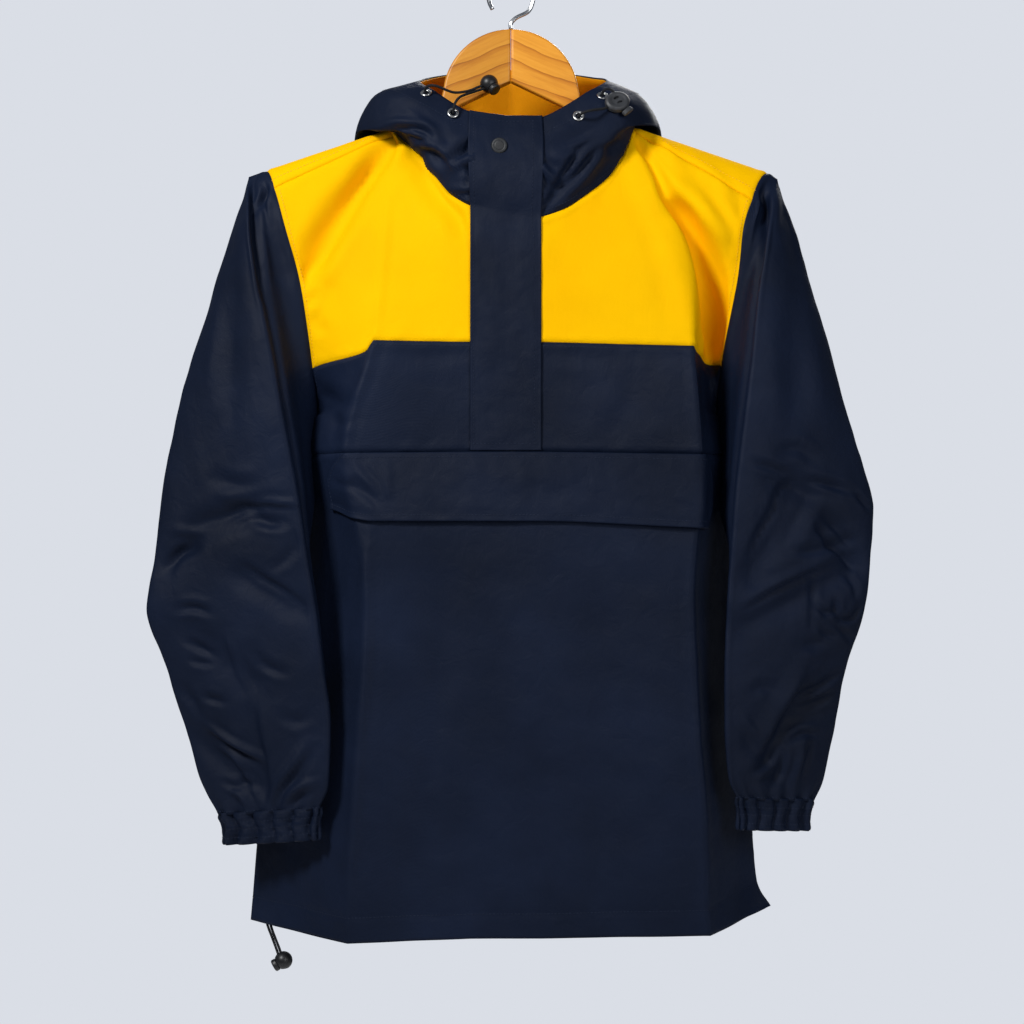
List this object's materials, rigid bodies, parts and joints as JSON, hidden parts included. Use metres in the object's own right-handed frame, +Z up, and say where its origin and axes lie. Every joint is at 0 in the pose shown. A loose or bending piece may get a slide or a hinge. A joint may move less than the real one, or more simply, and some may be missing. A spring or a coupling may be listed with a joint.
{
  "type": "anorak pullover on a hanger",
  "caption": "Pullover anorak with a folded-down hood, half zip under a placket, flap pocket, gathered cuffs and drawcord hem, hanging on a wooden hanger.",
  "frame": {"origin": "inside top of the hanger's hook, where the hanger hangs from a rail", "axes": "+Z up, -Y out of the garment's front, +X to the viewer's right when the front is looked at"},
  "size_m": [0.657, 0.183, 0.9139],
  "materials": {
    "navy_cloth": "fine twill, slight satin sheen",
    "yellow_cloth": "fine twill, matte",
    "lining_cloth": "fine twill, matte",
    "zip_tape": "woven tape",
    "cord": "braided, matte",
    "lock_plastic": "satin",
    "snap_plastic": "satin",
    "eyelet_steel": "polished",
    "hook_steel": "bright wire",
    "wood": "clear satin varnish"
  },
  "bodies": {
    "root": {"back_lower": "navy_cloth", "back_yoke": "yellow_cloth", "cuff_left": "navy_cloth", "cuff_right": "navy_cloth", "eyelet_left_lower": "eyelet_steel", "eyelet_left_upper": "eyelet_steel", "eyelet_right_lower": "eyelet_steel", "eyelet_right_upper": "eyelet_steel", "front_chest_left": "navy_cloth", "front_chest_right": "navy_cloth", "front_lower": "navy_cloth", "front_yoke_left": "yellow_cloth", "front_yoke_right": "yellow_cloth", "front_zip": "zip_tape", "hanger_board_left": "wood", "hanger_board_right": "wood", "hanger_hook": "hook_steel", "hem_cord_back": "cord", "hem_cord_front": "cord", "hem_lock": "lock_plastic", "hem_lock_plunger": "lock_plastic", "hood_cord_left_lower": "cord", "hood_cord_left_upper": "cord", "hood_cord_right_lower": "cord", "hood_cord_right_upper": "cord", "hood_left": "navy_cloth", "hood_lining": "lining_cloth", "hood_lock_left": "lock_plastic", "hood_lock_left_plunger": "lock_plastic", "hood_lock_right": "lock_plastic", "hood_lock_right_grip": "lock_plastic", "hood_right": "navy_cloth", "placket": "navy_cloth", "placket_snap": "snap_plastic", "pocket_flap": "navy_cloth", "sleeve_left": "navy_cloth", "sleeve_right": "navy_cloth"}
  },
  "joints": []
}
